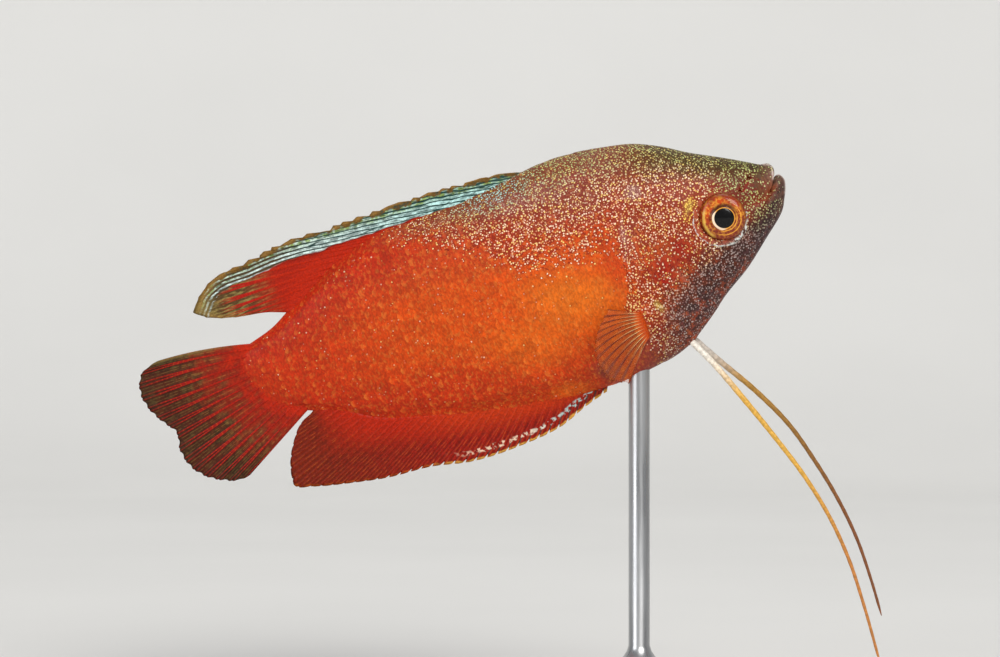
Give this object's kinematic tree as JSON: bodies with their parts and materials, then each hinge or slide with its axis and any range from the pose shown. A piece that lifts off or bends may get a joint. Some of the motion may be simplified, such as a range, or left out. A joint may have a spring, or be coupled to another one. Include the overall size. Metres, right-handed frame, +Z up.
{
  "type": "dwarf gourami",
  "caption": "Life-size still model of a red male dwarf gourami, swimming with its head raised, long thread feelers hanging, on an oval stand with a rod.",
  "frame": {"origin": "centre of the model's box at the underside of the stand's base", "axes": "+X towards the fish's head, +Z up, +Y towards the fish's left side"},
  "size_m": [0.0824, 0.034, 0.0625],
  "materials": {
    "body_skin": "wet, scaled, orange-red",
    "head_skin": "wet, finely speckled, olive above and purple-brown below",
    "gill_skin": "wet, crimson with pale specks",
    "dorsal_fin": "rayed, turquoise streaks over red",
    "red_fin": "rayed, red",
    "pectoral_fin": "rayed, pale orange with dark red rays",
    "feeler": "white at the root, yellow to tan",
    "eye": "polished, orange iris round a black pupil",
    "stand": "satin, pale grey"
  },
  "bodies": {
    "root": {"head": "head_skin", "gill_cover_left": "gill_skin", "gill_cover_right": "gill_skin", "eye_left": "eye", "eye_right": "eye", "torso": "body_skin", "tail": "body_skin", "dorsal_fin": "dorsal_fin", "anal_fin": "red_fin", "caudal_fin": "red_fin", "pectoral_fin_left": "pectoral_fin", "pectoral_fin_right": "pectoral_fin", "feeler_left_root": "feeler", "feeler_left_middle": "feeler", "feeler_left_tip": "feeler", "feeler_right_root": "feeler", "feeler_right_middle": "feeler", "feeler_right_tip": "feeler", "stand_base": "stand", "stand_rod": "stand"}
  },
  "joints": []
}
